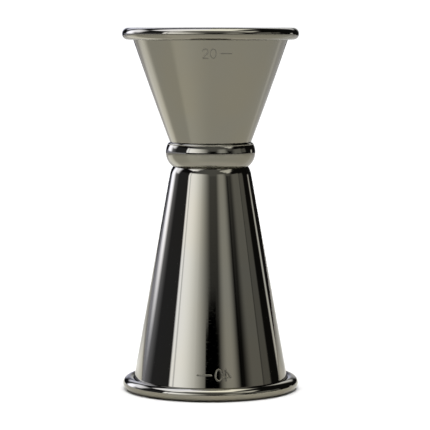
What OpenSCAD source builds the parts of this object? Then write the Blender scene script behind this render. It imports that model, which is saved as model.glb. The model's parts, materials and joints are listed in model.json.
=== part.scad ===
// Double-ended bar jigger in polished dark steel, a 20 ml cup over a 40 ml cup.
// Two drawn conical cups stand base to base, spot welded through their closed ends.
// A formed ring covers the weld at the waist, trapped between the two flares.
// Each mouth is finished with a bead, which is the cup's own edge curled outwards.
// The jigger stands on its lower mouth at z = 0, centred on the origin, with +Z up.

/* [Whole jigger] */
// Outside diameter over both rolled rims
rim_d = 45.7; // [44.5:0.1:47.5]
// Thickness of the sheet steel
sheet = 0.8; // [0.6:0.1:0.9]

/* [Upper cup] */
// Height from the closed end to the mouth
upper_h = 33.4; // [32:0.1:36]
// Slope of the wall away from the vertical, in degrees
upper_slope = 19.7; // [19:0.1:20.2]
// Diameter of the bead around the mouth
upper_bead = 3.1; // [2.8:0.1:3.4]
// Outside corner radius of the closed end
upper_corner = 2.4; // [1.6:0.2:3]

/* [Lower cup] */
// Height from the mouth to the closed end
lower_h = 60.4; // [58:0.1:62]
// Slope of the wall away from the vertical, in degrees
lower_slope = 10.04; // [9.6:0.02:10.4]
// Diameter of the bead around the mouth
lower_bead = 3.44; // [3:0.04:3.6]
// Outside corner radius of the closed end, which forms the shoulder under the band
lower_corner = 5; // [4:0.1:5.2]

/* [Waist band] */
// Outside diameter at the widest part of the band
band_d = 23.2; // [23:0.1:24]
// Radius of the crown that the band is formed to, in section
band_crown_r = 4.8; // [4.6:0.1:6]
// Height of the widest part above the lower cup's closed end
band_rise = 1.5; // [1.3:0.05:1.8]
// Height of the band's top edge above its widest part
band_top = 2.65; // [2.4:0.05:2.9]

/* [Spot welds] */
// Number of weld nuggets between the closed ends
weld_count = 3; // [2:1:6]
// Diameter of one nugget
weld_d = 3.2; // [2:0.1:3.6]
// Radius of the circle that the nuggets lie on
weld_circle_r = 3.4; // [3.2:0.1:3.6]
// Gap that a nugget holds open between the closed ends
weld_gap = 0.2; // [0.1:0.05:0.3]

/* [Hidden] */
$fn = 180;

// Depth of the worn flat on each bead, which the jigger stands on either way up
land_cut = 0.04;
// Clearance between the curled edge and the outside of the wall
curl_gap = 0.15;
// Depth by which one face is let into the next where a flat runs out into a curve
seat = 0.005;
// Length by which cutting shapes run past what they cut
past = 3;

total_h = lower_h + weld_gap + upper_h;
band_z = lower_h + band_rise;
// The band's section is kept only outside this radius, which lies behind both cup walls
band_inner_r = 9;

steel = "#66645b";
steel_band = "#5c5a52";
weld_grey = "#8a8a86";

// Each cup is drawn with its mouth at y = 0 and its closed end at y = h, in the plane
// of radius and height. The wall runs out of the bead's inner side, so the bead places it.

function along(a) = [cos(a), sin(a)];
function bead_centre(bead) = [(rim_d - bead) / 2, bead / 2 - land_cut];
// Angle round the bead over which wall and bead share their metal
function overlap(bead) = acos(1 - seat / ((bead - sheet) / 2));
// Where the wall starts inside the bead, at one depth into the sheet from inside the cup
function wall_foot(bead, slope, depth) =
    bead_centre(bead)
    - (bead / 2 - seat - depth) * along(slope)
    - (bead - sheet) / 2 * sin(overlap(bead)) * along(slope + 90);
function corner_centre(h, slope, bead, r) =
    let (foot = wall_foot(bead, slope, sheet))
    [foot.x - (r + (h - r - foot.y) * sin(slope)) / cos(slope), h - r];

// A cone with a rounded closed end at y = top, which starts at the points of its mouth
module rounded_cone(mouth, slope, centre, corner, top) {
    intersection() {
        union() {
            translate(centre) circle(corner + seat);
            polygon(concat(
                [[0, mouth[0].y]],
                mouth,
                [centre + corner * along(slope), [centre.x, top], [0, top]]
            ));
        }
        translate([0, -past]) square([rim_d, top + past]);
    }
}

// Everything inside the outer face of a cup, with its mouth closed off
module cup_outline(h, slope, bead, corner) {
    mouth = [for (depth = [0, sheet]) wall_foot(bead, slope, depth)];
    rounded_cone(mouth, slope, corner_centre(h, slope, bead, corner), corner, h);
}

// The room inside a cup, carried on past its mouth
module cup_room(h, slope, bead, corner) {
    mouth = [wall_foot(bead, slope, 0) - past * along(slope + 90)];
    centre = corner_centre(h, slope, bead, corner);
    rounded_cone(mouth, slope, centre, corner - sheet, h - sheet);
}

// The curled edge: a ring of sheet, open where it comes back to the outside of the wall
module bead_section(bead, slope) {
    r = bead / 2;
    opening = acos((r - sheet - curl_gap) / r);
    translate(bead_centre(bead))
    difference() {
        circle(r);
        circle(r - sheet);
        polygon([
            [0, 0],
            past * r * along(180 + slope - overlap(bead)),
            past * r * along(180 + slope - opening)
        ]);
    }
}

module cup_section(h, slope, bead, corner) {
    difference() {
        union() {
            difference() {
                cup_outline(h, slope, bead, corner);
                cup_room(h, slope, bead, corner);
            }
            bead_section(bead, slope);
        }
        translate([0, -past]) square([rim_d, past]);
    }
}

module lower_cup() {
    color(steel)
    rotate_extrude()
    cup_section(lower_h, lower_slope, lower_bead, lower_corner);
}

module upper_cup() {
    color(steel)
    translate([0, 0, total_h])
    mirror([0, 0, 1])
    rotate_extrude()
    cup_section(upper_h, upper_slope, upper_bead, upper_corner);
}

// A ring of sheet bent to the crown radius, cut off at the top edge and by both cups
module band_section() {
    difference() {
        intersection() {
            translate([band_d / 2 - band_crown_r, band_z])
            difference() {
                circle(band_crown_r);
                circle(band_crown_r - sheet);
            }
            translate([band_inner_r, band_z - band_crown_r])
            square([band_d, band_crown_r + band_top]);
        }
        cup_outline(lower_h, lower_slope, lower_bead, lower_corner);
        translate([0, total_h])
        mirror([0, 1])
        cup_outline(upper_h, upper_slope, upper_bead, upper_corner);
    }
}

module waist_band() {
    color(steel_band)
    rotate_extrude()
    band_section();
}

module weld_nuggets() {
    color(weld_grey)
    for (i = [0 : weld_count - 1])
        rotate(i * 360 / weld_count)
        translate([weld_circle_r, 0, lower_h])
        cylinder(d = weld_d, h = weld_gap);
}

lower_cup();
upper_cup();
waist_band();
weld_nuggets();
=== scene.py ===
import json
import math

import bmesh
import bpy
import numpy as np
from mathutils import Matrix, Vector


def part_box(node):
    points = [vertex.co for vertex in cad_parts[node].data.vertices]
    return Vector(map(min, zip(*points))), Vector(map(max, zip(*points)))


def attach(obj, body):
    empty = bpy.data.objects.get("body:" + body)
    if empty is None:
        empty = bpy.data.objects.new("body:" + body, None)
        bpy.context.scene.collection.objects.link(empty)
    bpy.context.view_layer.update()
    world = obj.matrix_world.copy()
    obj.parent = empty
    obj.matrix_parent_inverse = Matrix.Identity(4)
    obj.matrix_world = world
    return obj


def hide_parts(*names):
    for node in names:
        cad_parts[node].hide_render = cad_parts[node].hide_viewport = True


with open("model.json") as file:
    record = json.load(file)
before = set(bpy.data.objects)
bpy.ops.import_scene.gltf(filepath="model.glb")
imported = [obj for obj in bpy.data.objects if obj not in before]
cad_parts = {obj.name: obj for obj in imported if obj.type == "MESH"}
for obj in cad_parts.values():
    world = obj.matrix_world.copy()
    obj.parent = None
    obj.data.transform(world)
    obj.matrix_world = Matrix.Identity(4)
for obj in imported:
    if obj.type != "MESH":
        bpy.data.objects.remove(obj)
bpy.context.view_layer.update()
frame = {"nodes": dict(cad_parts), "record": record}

# Outlines are drawn in millimetres, in the plane of radius and height. Meshes are in metres.
MM = 0.001

# ---------------------------------------------------------------- sizes, repeated from the part's design

SHEET = 0.8
LOWER_SLOPE = 10.04
UPPER_SLOPE = 19.7
LOWER_CORNER = 5.0
UPPER_CORNER = 2.4
# Depth of the worn flat on each bead
LAND_CUT = 0.04
# Clearance between the curled edge and the wall
CURL_GAP = 0.15
BAND_CROWN_R = 4.8
# Height of the band's top edge above its widest part
BAND_TOP = 2.65
WELD_COUNT = 3
WELD_D = 3.2
WELD_CIRCLE_R = 3.4

# ---------------------------------------------------------------- finer shape, which only shows

# Chamfer that dressing leaves on a sheared edge
EDGE_BREAK = 0.08
# Gap left between the band and the lower cup, which shows as a dark line, and behind the band's top lip
BAND_GAP = 0.03
# Radius that the band's top edge is rounded over to, and the height of the edge behind it
BAND_EDGE_R = 0.95
BAND_LIP = 0.65
# Wear on the band, as a share of the wear on the rims, which touch the bar top
BAND_WEAR = 0.2
# Outward bow of the drawn walls at mid height, which only the upper cup has
UPPER_BOW = 0.12
LOWER_BOW = 0.0
# Unevenness that drawing and polishing leave in a wall
WALL_WAVE = 0.004
# Depth of the dent that a spot-welding electrode leaves in a cup's floor
WELD_DENT = 0.05
# Depth and stroke width of the engraved numerals
MARK_DEPTH = 0.05
MARK_STROKE = 0.26
# Numerals are only looked for this far round from the front
MARK_HALF_ANGLE = math.radians(40)
# Turning steps round a piece, outside and inside the window that holds its numerals
COARSE_STEP = 2.25
FINE_STEP = 0.2
# Spacing of the rows of points up that window
FINE_ROW = 0.07
SEED = 7


def along(angle):
    """Unit vector at an angle in degrees, in the plane of radius and height."""
    return np.array([math.cos(math.radians(angle)), math.sin(math.radians(angle))])


def smoothstep(x, low, high):
    t = np.clip((x - low) / (high - low), 0, 1)
    return t * t * (3 - 2 * t)


def arc(centre, radius, start, end, step):
    """Points on an arc from one angle to another, about step degrees apart."""
    count = max(2, math.ceil(abs(end - start) / step) + 1)
    return [centre + radius * along(a) for a in np.linspace(start, end, count)]


def run(start, end, spacing, close=0.06):
    """Points along a straight stretch, with one close to each end to keep the shading straight."""
    length = float(np.linalg.norm(end - start))
    count = max(2, math.ceil(length / spacing))
    places = sorted({*np.linspace(0, length, count + 1)[1:-1], close, length - close})
    return [start + (end - start) * p / length for p in places]


# ---------------------------------------------------------------- capacity numerals

GLYPH_W = 0.62


def ring(centre_x, centre_y, half_w, half_h, start=0, end=360, count=28):
    angles = np.radians(np.linspace(start, end, count))
    return [(centre_x + half_w * math.cos(a), centre_y + half_h * math.sin(a)) for a in angles]


# Each glyph is a list of strokes in a box 0.62 wide and 1 high
GLYPHS = {
    "0": [ring(0.31, 0.5, 0.31, 0.5)],
    "2": [ring(0.31, 0.71, 0.29, 0.29, 170, -40, 18) + [(0.02, 0.0), (0.62, 0.0)]],
    "4": [[(0.46, 0.0), (0.46, 1.0), (0.0, 0.3), (0.66, 0.3)]],
}


def numeral_strokes(text, height, left, spacing):
    """Strokes of a number, in millimetres, from its left edge, with its middle at height 0."""
    strokes = []
    for i, character in enumerate(text):
        origin = left + i * (GLYPH_W * height + spacing)
        for stroke in GLYPHS[character]:
            strokes.append([(origin + x * height, (y - 0.5) * height) for x, y in stroke])
    return strokes


def stroke_cover(u, v, strokes):
    """1 inside a stroke and 0 away from it, at surface points (u, v) in millimetres."""
    nearest = np.full(u.shape, np.inf)
    for stroke in strokes:
        for (x0, y0), (x1, y1) in zip(stroke, stroke[1:]):
            dx, dy = x1 - x0, y1 - y0
            t = np.clip(((u - x0) * dx + (v - y0) * dy) / (dx * dx + dy * dy), 0, 1)
            nearest = np.minimum(nearest, np.hypot(u - x0 - t * dx, v - y0 - t * dy))
    half = MARK_STROKE / 2
    return 1 - smoothstep(nearest, 0.6 * half, 1.4 * half)


# ---------------------------------------------------------------- turned pieces


def angles_round(window):
    """Angles round the axis in degrees, 0 at the front (-Y), fine inside the window."""
    if window is None:
        return np.arange(0, 360, COARSE_STEP)
    low, high = window
    fine = np.arange(low, high, FINE_STEP)
    count = round((360 - (high - low)) / COARSE_STEP)
    coarse = np.linspace(high, low + 360, count, endpoint=False)
    return np.concatenate([fine, coarse])


def turned(name, outline, angles, shape=None):
    """A closed mesh turned about Z from an outline in millimetres, in points of radius and height.
    shape(radius, height, angle) may return moved radii and heights, and values for the attributes."""
    points = np.array(outline)
    on_axis = points[:, 0] < 1e-6
    radius = np.repeat(points[:, 0][:, None], len(angles), axis=1)
    height = np.repeat(points[:, 1][:, None], len(angles), axis=1)
    turn = np.repeat(np.radians(angles)[None, :], len(points), axis=0)
    values = {}
    if shape:
        radius, height, values = shape(radius, height, turn)
    place = np.stack([radius * np.sin(turn), -radius * np.cos(turn), height], axis=2) * MM
    columns = len(angles)
    vertices, index, kept = [], np.zeros((len(points), columns), int), []
    for i in range(len(points)):
        if on_axis[i]:
            index[i, :] = len(vertices)
            vertices.append((0.0, 0.0, place[i, :, 2].mean()))
            kept.append((i, 0))
        else:
            index[i, :] = np.arange(len(vertices), len(vertices) + columns)
            vertices.extend(map(tuple, place[i]))
            kept.extend((i, j) for j in range(columns))
    closed = not (on_axis[0] and on_axis[-1])
    faces = []
    for i in range(len(points) - (0 if closed else 1)):
        above, below = index[i], index[(i + 1) % len(points)]
        for j in range(columns):
            k = (j + 1) % columns
            face = dict.fromkeys([above[j], above[k], below[k], below[j]])
            faces.append([int(v) for v in face])
    mesh = bpy.data.meshes.new(name)
    mesh.from_pydata(vertices, [], faces)
    for attribute, data in values.items():
        layer = mesh.attributes.new(attribute, "FLOAT", "POINT")
        layer.data.foreach_set("value", np.array([data[i, j] for i, j in kept], np.float32))
    work = bmesh.new()
    work.from_mesh(mesh)
    bmesh.ops.recalc_face_normals(work, faces=work.faces)
    work.to_mesh(mesh)
    work.free()
    mesh.shade_smooth()
    piece = bpy.data.objects.new(name, mesh)
    bpy.context.scene.collection.objects.link(piece)
    return piece


# ---------------------------------------------------------------- cups


class Cup:
    """A drawn cup in its own plane: mouth at y = 0, closed end at y = height."""

    def __init__(self, height, rim_r, bead_centre_r, slope, corner):
        self.height = height
        self.slope = slope
        self.corner = corner
        self.bead_r = rim_r - bead_centre_r
        self.bead = np.array([bead_centre_r, self.bead_r - LAND_CUT])
        self.out = along(slope)
        self.foot = self.bead - (self.bead_r - SHEET) * self.out
        sine, cosine = math.sin(math.radians(slope)), math.cos(math.radians(slope))
        reach = corner + (height - corner - self.foot[1]) * sine
        self.corner_centre = np.array([self.foot[0] - reach / cosine, height - corner])
        self.shoulder = self.corner_centre + corner * self.out

    def wall_radius(self, y):
        """Outside radius of the wall at a distance from the mouth."""
        share = (y - self.foot[1]) / (self.shoulder[1] - self.foot[1])
        return self.foot[0] + share * (self.shoulder[0] - self.foot[0])

    def outline(self, mark_rows):
        """Points of the whole section, from the middle of the floor round the mouth and back outside,
        and the kind of surface that each belongs to."""
        centre, out, slope = self.corner_centre, self.out, self.slope
        inner_r = self.bead_r - SHEET
        opening = math.degrees(math.acos((inner_r - CURL_GAP) / self.bead_r))
        first, last = 180 + slope, 540 + slope - opening
        break_out = math.degrees(EDGE_BREAK / self.bead_r)
        break_in = math.degrees(EDGE_BREAK / inner_r)
        floor = self.height - SHEET
        floor_rings = [np.array([r, floor]) for r in np.arange(0.3, centre[0] - 0.1, 0.3)]
        parts = [
            ("floor", [np.array([0, floor]), *floor_rings]),
            ("inside", arc(centre, self.corner - SHEET, 90, slope, 7)),
            ("inside", run(centre + (self.corner - SHEET) * out, self.bead - self.bead_r * out, 2.4)),
            ("bead", arc(self.bead, self.bead_r, first, last - break_out, 5)),
            ("bead", [self.bead + (self.bead_r - EDGE_BREAK) * along(last)]),
            ("bead", [self.bead + (inner_r + EDGE_BREAK) * along(last)]),
            ("bead", arc(self.bead, inner_r, last - break_in, first, 12)),
            ("wall", self.wall_run(mark_rows)),
            ("end", arc(centre, self.corner, slope, 90, 4)),
            ("end", [np.array([centre[0] * share, self.height]) for share in (0.6, 0.2, 0)]),
        ]
        points = [point for _, stretch in parts for point in stretch]
        kinds = [kind for kind, stretch in parts for _ in stretch]
        points = [np.array([p[0], max(p[1], 0)]) for p in points]
        return points, kinds

    def wall_run(self, mark_rows):
        """Points along the outside of the wall, fine where the numerals are."""
        coarse = run(self.foot, self.shoulder, 1.2)
        low, high = mark_rows
        ys = [p[1] for p in coarse if not low - 0.1 < p[1] < high + 0.1]
        ys = sorted([*ys, *np.arange(low, high, FINE_ROW)])
        return [np.array([self.wall_radius(y), y]) for y in ys]


def wall_wave(share, turn, random):
    """Slow unevenness of a wall, from -1 to 1, which fades out at both ends."""
    total = np.zeros_like(share)
    for lobes in (2, 3, 5, 8):
        phase, drift, cycles = random.uniform(0, 2 * math.pi, 3)
        total += np.cos(lobes * turn + phase + drift * share) * np.cos(cycles * share + phase) / 4
    return total * smoothstep(share, 0, 0.15) * smoothstep(1 - share, 0, 0.15)


def make_cup(name, cup, to_height, bow, mark, seed):
    """One cup with its numerals, wall unevenness and weld dents. mark describes the numerals."""
    middle, half_h = mark["middle_y"], mark["half_h"]
    points, kinds = cup.outline((middle - half_h, middle + half_h))
    kinds = np.array(kinds)
    random = np.random.default_rng(seed)
    mark_r = cup.wall_radius(middle)
    upright = mark["upright"]

    def shape(radius, y, turn):
        wall = (kinds == "wall")[:, None] * np.ones_like(radius)
        share = np.clip((y - cup.foot[1]) / (cup.shoulder[1] - cup.foot[1]), 0, 1)
        swell = bow * 4 * share * (1 - share) + WALL_WAVE * wall_wave(share, turn, random)
        angle = (turn + math.pi) % (2 * math.pi) - math.pi
        u = angle * mark_r * upright
        v = (y - middle) * -upright
        near = wall * (np.abs(angle) < MARK_HALF_ANGLE)
        cover = stroke_cover(u, v, mark["strokes"]) * near
        swell = (swell - MARK_DEPTH * cover) * wall
        radius = radius + swell * cup.out[0]
        moved = y + swell * cup.out[1]
        dent = np.zeros_like(radius)
        for i in range(WELD_COUNT):
            at = 2 * math.pi * i / WELD_COUNT
            x_gap = radius * np.sin(turn) - WELD_CIRCLE_R * math.cos(at)
            y_gap = -radius * np.cos(turn) - WELD_CIRCLE_R * math.sin(at)
            gap = np.hypot(x_gap, y_gap)
            dent = np.maximum(dent, 1 - smoothstep(gap, 0.3 * WELD_D, 0.5 * WELD_D))
        dent *= (kinds == "floor")[:, None]
        moved = moved + WELD_DENT * dent
        at_mouth = smoothstep(cup.bead[1] - y, 0.7 * cup.bead_r, 0.98 * cup.bead_r)
        crest = (kinds == "bead")[:, None] * at_mouth
        values = {"mark": cover, "wear": np.maximum(crest, 0.6 * dent)}
        return radius, to_height(moved), values

    return turned(name, points, angles_round(mark["window"]), shape)


# ---------------------------------------------------------------- waist band


def crossing(centre_a, radius_a, centre_b, radius_b, side):
    """Point where two circles cross, to the right (+1) or left (-1) of the way from a to b."""
    gap = centre_b - centre_a
    distance = np.linalg.norm(gap)
    share = (radius_a**2 - radius_b**2 + distance**2) / (2 * distance)
    rise = math.sqrt(radius_a**2 - share**2)
    way = gap / distance
    return centre_a + share * way + side * rise * np.array([way[1], -way[0]])


def angle_of(point, centre):
    return math.degrees(math.atan2(point[1] - centre[1], point[0] - centre[0]))


def make_band(lower, upper_wall_radius, band_r, band_z, top_z, lower_axis_y):
    """The ring of sheet at the waist, bent to its crown radius, with its edges at both cups."""
    crown = np.array([band_r - BAND_CROWN_R, band_z])
    inside_r = BAND_CROWN_R - SHEET
    shoulder = np.array([lower.corner_centre[0], lower_axis_y])
    clear = lower.corner + BAND_GAP
    foot = crossing(shoulder, clear, crown, BAND_CROWN_R, 1)
    heel = crossing(shoulder, clear, crown, inside_r, 1)
    # The top edge is rounded over from the crown, and the rounding ends inside the upper cup's sheet
    edge_centre_y = top_z - BAND_EDGE_R
    edge_angle = math.degrees(math.asin((edge_centre_y - band_z) / (BAND_CROWN_R - BAND_EDGE_R)))
    edge_centre = crown + (BAND_CROWN_R - BAND_EDGE_R) * along(edge_angle)
    wall_gap = BAND_GAP / math.cos(math.radians(UPPER_SLOPE))
    lip = np.array([upper_wall_radius(top_z) + wall_gap, top_z])
    nape_angle = math.degrees(math.asin((top_z - BAND_LIP - band_z) / inside_r))
    points = [
        *arc(crown, BAND_CROWN_R, angle_of(foot, crown), edge_angle, 2.5),
        *arc(edge_centre, BAND_EDGE_R, edge_angle, 90, 9),
        lip,
        *arc(crown, inside_r, nape_angle, angle_of(heel, crown), 8),
        *arc(shoulder, clear, angle_of(heel, shoulder), angle_of(foot, shoulder), 4)[1:-1],
    ]

    def shape(radius, height, turn):
        crest = smoothstep(radius, band_r - 0.12, band_r)
        rim = smoothstep(height, top_z - 0.3, top_z)
        wear = np.maximum(crest, rim) * BAND_WEAR
        return radius, height, {"mark": np.zeros_like(radius), "wear": wear}

    return turned("waist_band_ring", points, angles_round(None), shape)


# ---------------------------------------------------------------- materials


class Graph:
    """A small helper that adds nodes and links their sockets by name."""

    def __init__(self, tree):
        self.tree = tree

    def add(self, kind, settings=None, **inputs):
        node = self.tree.nodes.new(kind)
        for key, value in (settings or {}).items():
            setattr(node, key, value)
        for key, value in inputs.items():
            self.put(node.inputs[key.replace("_", " ")], value)
        return node

    def put(self, socket, value):
        if isinstance(value, bpy.types.NodeSocket):
            self.tree.links.new(value, socket)
        else:
            socket.default_value = value

    def math(self, operation, *values, clamp=False):
        node = self.tree.nodes.new("ShaderNodeMath")
        node.operation = operation
        node.use_clamp = clamp
        for socket, value in zip(node.inputs, values):
            self.put(socket, value)
        return node.outputs[0]

    def span(self, value, low, high, to_low=0.0, to_high=1.0, smooth=True):
        """Maps a value from one range to another, clamped, with soft ends."""
        node = self.tree.nodes.new("ShaderNodeMapRange")
        node.interpolation_type = "SMOOTHSTEP" if smooth else "LINEAR"
        for socket, item in zip(node.inputs, (value, low, high, to_low, to_high)):
            self.put(socket, item)
        return node.outputs[0]

    def mix(self, share, first, second):
        """Mixes two colours."""
        node = self.tree.nodes.new("ShaderNodeMix")
        node.data_type = "RGBA"
        self.put(node.inputs[0], share)
        self.put(node.inputs[6], first)
        self.put(node.inputs[7], second)
        return node.outputs[2]

    def noise(self, vector, scale, detail=3.0, roughness=0.5):
        settings = {"Vector": vector, "Scale": scale, "Detail": detail, "Roughness": roughness}
        return self.add("ShaderNodeTexNoise", **settings).outputs["Fac"]

    def attribute(self, name):
        return self.add("ShaderNodeAttribute", {"attribute_name": name}).outputs["Fac"]

    def window(self, value, low, high, soft_low, soft_high):
        """1 between two values and 0 outside them, with a soft edge at each."""
        rising = self.span(value, low - soft_low, low + soft_low)
        falling = self.span(value, high - soft_high, high + soft_high, 1.0, 0.0)
        return self.math("MULTIPLY", rising, falling)

    def azimuth(self, x, y):
        """Degrees round from the front (-Y), positive towards +X."""
        return self.math("DEGREES", self.math("ARCTAN2", x, self.math("MULTIPLY", y, -1.0)))


def colour(red, green, blue):
    return (red, green, blue, 1.0)


# The film's two tints, the steel under it, and the darker colour painted into the engraved strokes
FILM = colour(0.200, 0.194, 0.165)
FILM_WARM = colour(0.207, 0.195, 0.156)
BARE_STEEL = colour(0.42, 0.41, 0.38)
STROKE_DARK = colour(0.08, 0.08, 0.075)
# How far a fully worn crest is down to the steel, and how far a stroke is painted towards that darker
# colour
WORN_SHARE = 0.55
STROKE_DARK_SHARE = 0.45
# Roughness of the cleanest metal
GLOSS = 0.02
CUP_HAZE = 0.055
BAND_HAZE = 0.05
# Height of the fine relief of turning lines and scratches
RELIEF = 0.0008
FRESH_WELD = colour(0.45, 0.45, 0.44)
BLUED_WELD = colour(0.20, 0.19, 0.26)


def empty_material(name):
    """A material with no nodes yet, its graph, and the place on the object in millimetres."""
    material = bpy.data.materials.new(name)
    material.use_nodes = True
    material.node_tree.nodes.clear()
    g = Graph(material.node_tree)
    place = g.add("ShaderNodeTexCoord").outputs["Object"]
    scaled = g.add("ShaderNodeVectorMath", {"operation": "SCALE"}, Vector=place, Scale=1 / MM)
    return material, g, scaled.outputs[0]


def finish_material(g, shader):
    output = g.add("ShaderNodeOutputMaterial")
    g.put(output.inputs["Surface"], shader.outputs[0])


def polished_metal(name, haze):
    """Mirror-polished coated steel: slow film tint, wiped smudges, fine scratches, turning lines and
    worn crests. haze is the roughness where it is smudged."""
    material, g, in_mm = empty_material(name)

    # Patterns, each with its scale in cycles per millimetre
    film = g.span(g.noise(in_mm, 0.045, 2.0), 0.35, 0.65)
    smudge = g.span(g.noise(in_mm, 0.16, 5.0, 0.62), 0.46, 0.72)
    # Turning lines run round the axis, so they are much finer along it
    stretched = g.add("ShaderNodeVectorMath", {"operation": "MULTIPLY"}, Vector=in_mm)
    stretched.inputs[1].default_value = (0.35, 0.35, 9.0)
    lines = g.noise(stretched.outputs[0], 2.2, 2.0)
    slanted = g.add("ShaderNodeMapping", Vector=in_mm, Rotation=(0.6, 0.25, 0.9), Scale=(0.25, 3.5, 3.5))
    scratch = g.span(g.noise(slanted.outputs[0], 1.6, 1.0), 0.66, 0.7)
    fleck = g.span(g.noise(in_mm, 2.6, 2.0), 0.68, 0.74)

    wear = g.math("MULTIPLY", g.attribute("wear"), g.span(g.noise(in_mm, 0.9, 4.0), 0.38, 0.62))
    mark = g.attribute("mark")
    tint = g.mix(film, FILM, FILM_WARM)
    tint = g.mix(g.math("MULTIPLY", wear, WORN_SHARE), tint, BARE_STEEL)
    # The engraved strokes are painted darker
    tint = g.mix(g.math("MULTIPLY", mark, STROKE_DARK_SHARE), tint, STROKE_DARK)

    rough = g.math("MULTIPLY_ADD", smudge, haze - GLOSS, GLOSS)
    # What each pattern adds to the roughness
    for pattern, added in ((scratch, 0.05), (fleck, 0.04), (wear, 0.08), (mark, 0.35)):
        rough = g.math("MULTIPLY_ADD", pattern, added, rough)

    relief = g.math("MULTIPLY_ADD", lines, 0.5, g.math("MULTIPLY", scratch, -0.6))
    grain = g.math("MULTIPLY", g.noise(in_mm, 9.0, 1.0), mark)
    relief = g.math("MULTIPLY_ADD", grain, 6.0, relief)
    bump = g.add("ShaderNodeBump", Height=relief)
    bump.inputs["Strength"].default_value = 1.0
    bump.inputs["Distance"].default_value = RELIEF * MM

    shader = g.add("ShaderNodeBsdfPrincipled", Metallic=1.0, Roughness=rough, Normal=bump.outputs[0])
    g.put(shader.inputs["Base Color"], tint)
    shader.inputs["Specular Tint"].default_value = colour(0.85, 0.85, 0.87)
    finish_material(g, shader)
    return material


def weld_metal():
    """Bare fused steel, blued by heat, between the closed ends."""
    material, g, in_mm = empty_material("weld_metal")
    heat = g.span(g.noise(in_mm, 0.8, 4.0), 0.35, 0.7)
    grain = g.noise(in_mm, 14.0, 3.0)
    tint = g.mix(heat, FRESH_WELD, BLUED_WELD)
    rough = g.span(grain, 0.2, 0.8, 0.32, 0.55)
    bump = g.add("ShaderNodeBump", Height=grain)
    bump.inputs["Distance"].default_value = 0.01 * MM
    shader = g.add("ShaderNodeBsdfPrincipled", Metallic=1.0, Roughness=rough, Normal=bump.outputs[0])
    g.put(shader.inputs["Base Color"], tint)
    finish_material(g, shader)
    return material


# ---------------------------------------------------------------- studio

# Soft boxes and cards round the set, in degrees. Each row gives the azimuths of the left and right edges,
# how soft those are, the elevations of the lower and upper edges, how soft those are, and the radiance.
STUDIO_LIGHTS = {
    "left_strip": (-141, -120, 5, 8, 1.5, 25, 2.5, 3, 4.3),
    "left_box": (-141, -107, 5, 8, 14, 38, 4, 6, 3.3),
    "left_tail": (-130, -107, 5, 14, -4, 25, 3, 3, 0.5),
    "main_box": (-65, -23, 2, 30, 4, 28, 1.5, 4, 3.5),
    "high_box": (-72, -43, 5, 7, 41, 52, 2, 2, 2.2),
    "umbrella": (33, 79, 6, 6, 40, 47, 2, 2, 1.8),
    "umbrella_middle": (42, 71, 5, 5, 34, 41, 2, 2, 1.9),
    "umbrella_tip": (50, 63, 4, 4, 29, 35, 1.5, 2, 2.0),
    "right_card": (19, 42, 9, 8, 4, 27, 3, 3, 0.92),
    "right_wall": (60, 88, 9, 3, -1, 21, 2, 1.5, 0.42),
    "far_right_wall": (87, 103.5, 3, 2.5, 2, 18, 2, 2, 0.28),
    "right_strip": (127, 134, 2, 2, -3, 5, 1, 2, 1.5),
    "back_glow": (166, 194, 4, 4, -3, 12, 3, 6, 0.7),
    "backdrop": (155, 206, 8, 6, 17, 40, 3, 6, 1.6),
    "left_dim": (-118, -66, 10, 3, 0, 26, 3, 5, 0.07),
    "left_horizon": (-150, -66, 10, 2, -6, 1.5, 2, 1.5, 0.75),
    "front_horizon": (-66, 66, 2, 6, -8, -3, 2, 1, 0.9),
    "ceiling": (-52, 62, 10, 10, 14, 58, 6, 4, 0.27),
}
# Dark flags in front of them: the same row, which ends with the share of light that the flag stops
STUDIO_FLAGS = {
    "stand": (-59.8, -57.2, 0.8, 0.8, -5, 30, 2, 2, 0.4),
    "camera": (-8, 14, 1.2, 4, 8, 12.2, 1.5, 0.3, 1.0),
    "camera_top": (-4, 10, 1.5, 2, 8, 12.9, 1.5, 0.3, 1.0),
    "right_edge": (46.5, 49.5, 1, 1, 0, 18, 2, 3, 0.6),
    "wall_edge": (86, 88, 0.6, 0.6, 0, 12, 2, 4, 0.45),
}
# The overhead soft box and its fill card, as rectangles on a level plane 1 above the set: the X of the
# left and right edges, how soft those are, the Y of the front and rear edges, how soft those are, radiance
OVERHEAD = (-1.05, 0.45, 0.08, 0.12, -0.62, 0.33, 0.03, 0.12, 3.5)
OVERHEAD_FILL = (0.1, 0.45, 0.2, 0.1, 0.05, 0.5, 0.1, 0.15, 1.15)
# Sine of the lowest elevation at which the overhead boxes are seen
OVERHEAD_FROM = 0.05
# Radiance of the unlit room
ROOM = 0.015
# The lights on the left are daylight and those on the right are a little warmer, blended between azimuths
LEFT_TINT = (1.0, 1.02, 1.2)
RIGHT_TINT = (1.0, 1.0, 0.98)
TINT_FROM = -110.0
TINT_TO = 10.0
# The table is lit evenly from above: the elevations between which that light comes up, and its radiance
FLOOR_LIGHT_FROM = 38.0
FLOOR_LIGHT_FULL = 64.0
FLOOR_LIGHT = 4.2
# Radiance of the white background that the camera sees
BACKGROUND = 1.12
# The table reaches further in front of the jigger than behind it
FLOOR_R = 1.15
FLOOR_BACK = 0.9
# Painted light on the table, seen in reflections: its colour beside the jigger, near it and far away,
# darker with distance, and the distances in metres over which the first turns into the second and that into
# the third
TABLE_PAINTED_LIGHT_BESIDE = (0.88, 0.86, 0.80)
TABLE_PAINTED_LIGHT_NEAR = (0.61, 0.60, 0.56)
TABLE_PAINTED_LIGHT_FAR = (0.42, 0.41, 0.39)
BESIDE_RING = (0.02, 0.09)
FAR_RING = (0.1, 0.6)
# Pools of light that the boxes throw on the table: azimuths of both edges, how soft those are, radiance
TABLE_POOLS = {
    "left_strip": (-147, -117, 8, 9, 1.0),
    "main_box": (-62, -25, 6, 32, 0.24),
    "right_strip": (127, 135, 4, 4, 0.3),
}
POOL_TINT = (1.0, 0.99, 0.94)
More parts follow.
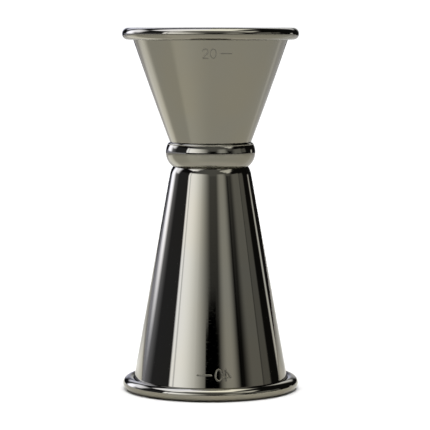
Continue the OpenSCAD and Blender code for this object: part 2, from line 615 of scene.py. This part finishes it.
# Distances over which the pools come up, and over which they fade out again
POOL_INNER_RING = (0.04, 0.09)
POOL_OUTER_RING = (0.3, 0.5)
# Colour of the table that the camera sees, which its exposure turns white
FLOOR_WHITE = 0.78
# A long lens, and its place to the right, in front and above the upper rim, in metres
LENS = 187.5
CAMERA_RIGHT = 0.00115
CAMERA_FRONT = 0.58
CAMERA_ABOVE = 0.002
# How far the camera looks down, in degrees
CAMERA_DOWN = 4.98


def studio_world():
    """White for the camera, even light for the floor, and a dark studio with soft boxes for reflections."""
    world = bpy.data.worlds.new("studio")
    bpy.context.scene.world = world
    world.use_nodes = True
    world.cycles.sampling_method = "NONE"
    tree = world.node_tree
    tree.nodes.clear()
    g = Graph(tree)
    direction = g.add("ShaderNodeTexCoord").outputs["Generated"]
    x, y, z = g.add("ShaderNodeSeparateXYZ", Vector=direction).outputs
    azimuth = g.azimuth(x, y)
    elevation = g.math("DEGREES", g.math("ARCSINE", z))

    def card_mask(card):
        left, right, soft_l, soft_r, low, high, soft_b, soft_t = card
        # A card across the back needs azimuths that run on past 180
        turn = g.math("WRAP", azimuth, 360.0, 0.0) if right > 180 else azimuth
        across = g.window(turn, left, right, soft_l, soft_r)
        return g.math("MULTIPLY", across, g.window(elevation, low, high, soft_b, soft_t))

    total = ROOM
    for *card, radiance in STUDIO_LIGHTS.values():
        total = g.math("MAXIMUM", total, g.math("MULTIPLY", card_mask(card), radiance))

    # Where each direction meets the plane overhead
    height = g.math("MAXIMUM", z, OVERHEAD_FROM)
    across = g.math("DIVIDE", x, height)
    back = g.math("DIVIDE", y, height)
    overhead = g.math("GREATER_THAN", z, OVERHEAD_FROM)
    for left, right, soft_l, soft_r, front, rear, soft_f, soft_b, radiance in (OVERHEAD, OVERHEAD_FILL):
        in_x = g.window(across, left, right, soft_l, soft_r)
        in_y = g.window(back, front, rear, soft_f, soft_b)
        panel = g.math("MULTIPLY", g.math("MULTIPLY", in_x, in_y), overhead)
        total = g.math("MAXIMUM", total, g.math("MULTIPLY", panel, radiance))
    for *card, darkness in STUDIO_FLAGS.values():
        total = g.math("MULTIPLY", total, g.math("MULTIPLY_ADD", card_mask(card), -darkness, 1.0))

    warmth = g.span(azimuth, TINT_FROM, TINT_TO)
    tint = g.mix(warmth, colour(*LEFT_TINT), colour(*RIGHT_TINT))
    lit = g.add("ShaderNodeVectorMath", {"operation": "SCALE"}, Vector=tint, Scale=total)
    reflected = g.add("ShaderNodeBackground", Color=lit.outputs[0])
    ray = g.add("ShaderNodeLightPath")
    from_above = g.span(elevation, FLOOR_LIGHT_FROM, FLOOR_LIGHT_FULL, 0.0, FLOOR_LIGHT)
    for_floor = g.math("MULTIPLY", ray.outputs["Is Diffuse Ray"], from_above)
    for_camera = g.math("MULTIPLY", ray.outputs["Is Camera Ray"], BACKGROUND)
    soft = g.add("ShaderNodeBackground", Strength=g.math("ADD", for_floor, for_camera))
    soft.inputs["Color"].default_value = colour(1, 1, 1)
    mixed = g.add("ShaderNodeMixShader")
    g.put(mixed.inputs[0], ray.outputs["Is Glossy Ray"])
    tree.links.new(soft.outputs[0], mixed.inputs[1])
    tree.links.new(reflected.outputs[0], mixed.inputs[2])
    output = g.add("ShaderNodeOutputWorld")
    tree.links.new(mixed.outputs[0], output.inputs["Surface"])


def studio_floor():
    """A table top, plain and pale to the camera, part of the stage, which the metal reflects with its pools
    of light and with painted light that is darker away from the jigger.
    """
    mesh = bpy.data.meshes.new("table_top")
    turn = np.radians(np.arange(0, 360, 3))
    centre_y = FLOOR_BACK - FLOOR_R
    rim = [(FLOOR_R * math.cos(a), centre_y + FLOOR_R * math.sin(a), 0.0) for a in turn]
    mesh.from_pydata(rim, [], [range(len(rim))])
    floor = bpy.data.objects.new("table_top", mesh)
    bpy.context.scene.collection.objects.link(floor)
    material = bpy.data.materials.new("table_top")
    material.use_nodes = True
    g = Graph(material.node_tree)
    shader = material.node_tree.nodes["Principled BSDF"]
    ray = g.add("ShaderNodeLightPath")
    seen = colour(FLOOR_WHITE, FLOOR_WHITE, FLOOR_WHITE)
    place = g.add("ShaderNodeNewGeometry").outputs["Position"]
    distance = g.add("ShaderNodeVectorMath", {"operation": "LENGTH"}, Vector=place).outputs["Value"]
    # Painted light: in reflections the table is brighter beside the jigger and darker far from it
    table = g.mix(g.span(distance, *BESIDE_RING), colour(*TABLE_PAINTED_LIGHT_BESIDE), colour(*TABLE_PAINTED_LIGHT_NEAR))
    table = g.mix(g.span(distance, *FAR_RING), table, colour(*TABLE_PAINTED_LIGHT_FAR))
    g.put(shader.inputs["Base Color"], g.mix(ray.outputs["Is Camera Ray"], table, seen))
    x, y, _ = g.add("ShaderNodeSeparateXYZ", Vector=place).outputs
    azimuth = g.azimuth(x, y)
    pools = 0.0
    for *pool, radiance in TABLE_POOLS.values():
        pools = g.math("MULTIPLY_ADD", g.window(azimuth, *pool), radiance, pools)
    pools = g.math("MULTIPLY", pools, g.span(distance, *POOL_INNER_RING))
    pools = g.math("MULTIPLY", pools, g.span(distance, *POOL_OUTER_RING, 1.0, 0.0))
    g.put(shader.inputs["Emission Strength"], g.math("MULTIPLY", pools, ray.outputs["Is Glossy Ray"]))
    shader.inputs["Emission Color"].default_value = colour(*POOL_TINT)
    shader.inputs["Roughness"].default_value = 1.0
    shader.inputs["Specular IOR Level"].default_value = 0.0
    mesh.materials.append(material)


def studio_camera(total_height):
    """A long lens a little above the rim, looking slightly down."""
    data = bpy.data.cameras.new("camera")
    data.lens = LENS
    data.sensor_width = 36
    data.clip_start = 0.05
    data.clip_end = 20
    camera = bpy.data.objects.new("camera", data)
    bpy.context.scene.collection.objects.link(camera)
    camera.location = (CAMERA_RIGHT, -CAMERA_FRONT, total_height + CAMERA_ABOVE)
    camera.rotation_euler = (math.radians(90 - CAMERA_DOWN), 0, 0)
    bpy.context.scene.camera = camera


# ---------------------------------------------------------------- the object

lower_low, lower_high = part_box("lower_cup")
upper_low, upper_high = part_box("upper_cup")
band_low, band_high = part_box("waist_band")
mounts = {mount["name"]: mount["pos_m"] for mount in frame["record"]["mounts"]}
rim_r = lower_high.x / MM
total_h = upper_high.z / MM
lower_h = lower_high.z / MM
upper_h = (upper_high.z - upper_low.z) / MM
band_r = band_high.x / MM

lower = Cup(lower_h, rim_r, mounts["rest_face"][0] / MM, LOWER_SLOPE, LOWER_CORNER)
upper = Cup(upper_h, rim_r, mounts["upper_rest_face"][0] / MM, UPPER_SLOPE, UPPER_CORNER)

# upright is 1 where a number reads with the upper cup on top, and -1 where it reads the other way up
LOWER_MARK = {
    "strokes": numeral_strokes("40", 2.8, -5.1, 0.35) + [[(-0.2, 0.0), (3.3, 0.0)]],
    "middle_y": 6.4, "half_h": 1.9, "window": (-12, 17), "upright": -1,
}
UPPER_MARK = {
    "strokes": numeral_strokes("20", 2.3, -1.95, 0.55) + [[(2.6, 0.0), (5.4, 0.0)]],
    "middle_y": total_h - 87.65, "half_h": 1.6, "window": (-8, 18), "upright": 1,
}

lower_cup = make_cup("lower_cup_shell", lower, lambda y: y, LOWER_BOW, LOWER_MARK, SEED)
upper_cup = make_cup("upper_cup_shell", upper, lambda y: total_h - y, UPPER_BOW, UPPER_MARK, SEED + 1)
waist_band = make_band(
    lower, lambda z: upper.wall_radius(total_h - z), band_r,
    band_high.z / MM - BAND_TOP, band_high.z / MM, lower.corner_centre[1],
)

cup_steel = polished_metal("polished_steel", CUP_HAZE)
band_steel = polished_metal("band_steel", BAND_HAZE)
nuggets = frame["nodes"]["weld_nuggets"]
nuggets.data.materials.clear()
nuggets.data.materials.append(weld_metal())

for piece, node, slot, material in (
    (lower_cup, "lower_cup", "polished_steel", cup_steel),
    (upper_cup, "upper_cup", "polished_steel", cup_steel),
    (waist_band, "waist_band", "band_steel", band_steel),
):
    piece.data.materials.append(material)
    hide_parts(node)
    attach(piece, "root")

studio_world()
studio_floor()
studio_camera(total_h * MM)
bpy.context.scene.view_settings.view_transform = "Standard"
